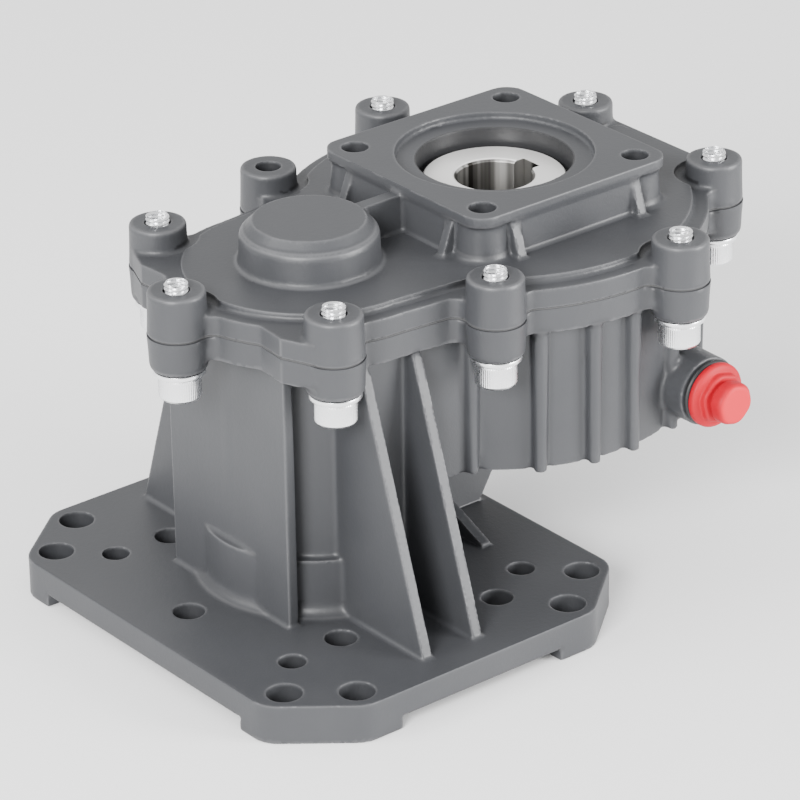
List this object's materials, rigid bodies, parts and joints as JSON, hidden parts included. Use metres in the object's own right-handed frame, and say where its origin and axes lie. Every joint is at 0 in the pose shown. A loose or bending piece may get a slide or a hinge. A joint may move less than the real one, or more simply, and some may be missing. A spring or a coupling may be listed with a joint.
{
  "type": "speed reducer gearbox",
  "caption": "Speed reducer that bolts to an engine's face and turns a hydraulic pump through a spur gear pair; ribbed cast housing, domed cover, hollow keyed shafts.",
  "frame": {"origin": "on the input (engine) shaft's axis, in the plane of the foot pads that meet the engine", "axes": "+Z along both shafts, from the engine towards the pump; +X from the input shaft to the output shaft"},
  "size_m": [0.215, 0.1625, 0.1312],
  "materials": {
    "casting": "painted satin dark grey",
    "gasket": "fibre",
    "zinc_steel": "bright zinc",
    "steel": "ground",
    "dark_steel": "phosphated",
    "machined_steel": "fine turned",
    "bearing_steel": "polished",
    "brass_cage": "satin",
    "red_plastic": "gloss",
    "black_rubber": "satin"
  },
  "bodies": {
    "housing": {"gear_housing": "casting", "gear_cover": "casting", "cover_gasket": "gasket", "cover_screws": "zinc_steel", "cover_washers": "zinc_steel", "dowel_pins": "steel", "oil_plug": "red_plastic", "oil_plug_seal": "black_rubber", "output_seal": "black_rubber", "input_seal": "black_rubber", "bearing_circlip": "dark_steel", "out_upper_outer": "bearing_steel", "out_lower_outer": "bearing_steel", "in_upper_outer": "bearing_steel", "in_lower_outer": "bearing_steel"},
    "output_rotor": {"output_shaft": "machined_steel", "output_gear": "steel", "gear_key": "steel", "output_circlip": "dark_steel", "out_upper_inner": "bearing_steel", "out_lower_inner": "bearing_steel"},
    "input_rotor": {"input_shaft": "machined_steel", "input_circlip": "dark_steel", "in_upper_inner": "bearing_steel", "in_lower_inner": "bearing_steel"},
    "out_upper_roll": {"out_upper_cage": "brass_cage", "out_upper_balls": "bearing_steel"},
    "out_lower_roll": {"out_lower_cage": "brass_cage", "out_lower_balls": "bearing_steel"},
    "in_upper_roll": {"in_upper_cage": "brass_cage", "in_upper_balls": "bearing_steel"},
    "in_lower_roll": {"in_lower_cage": "brass_cage", "in_lower_balls": "bearing_steel"}
  },
  "joints": [
    {"name": "output_spin", "type": "hinge", "parent": "housing", "child": "output_rotor", "pos_m": [0.073, 0, 0], "axis": [0, 0, 1], "continuous": true},
    {"name": "input_spin", "type": "hinge", "parent": "housing", "child": "input_rotor", "pos_m": [0, 0, 0], "axis": [0, 0, 1], "continuous": true},
    {"name": "out_upper_cage_spin", "type": "hinge", "parent": "housing", "child": "out_upper_roll", "pos_m": [0.073, 0, 0], "axis": [0, 0, 1], "continuous": true},
    {"name": "out_lower_cage_spin", "type": "hinge", "parent": "housing", "child": "out_lower_roll", "pos_m": [0.073, 0, 0], "axis": [0, 0, 1], "continuous": true},
    {"name": "in_upper_cage_spin", "type": "hinge", "parent": "housing", "child": "in_upper_roll", "pos_m": [0, 0, 0], "axis": [0, 0, 1], "continuous": true},
    {"name": "in_lower_cage_spin", "type": "hinge", "parent": "housing", "child": "in_lower_roll", "pos_m": [0, 0, 0], "axis": [0, 0, 1], "continuous": true}
  ],
  "couplings": [
    {"joint": "input_spin", "follows": "output_spin", "ratio": -2.1739},
    {"joint": "out_upper_cage_spin", "follows": "output_spin", "ratio": 0.4275},
    {"joint": "out_lower_cage_spin", "follows": "output_spin", "ratio": 0.42481},
    {"joint": "in_upper_cage_spin", "follows": "output_spin", "ratio": -0.86873},
    {"joint": "in_lower_cage_spin", "follows": "output_spin", "ratio": -0.94686}
  ]
}
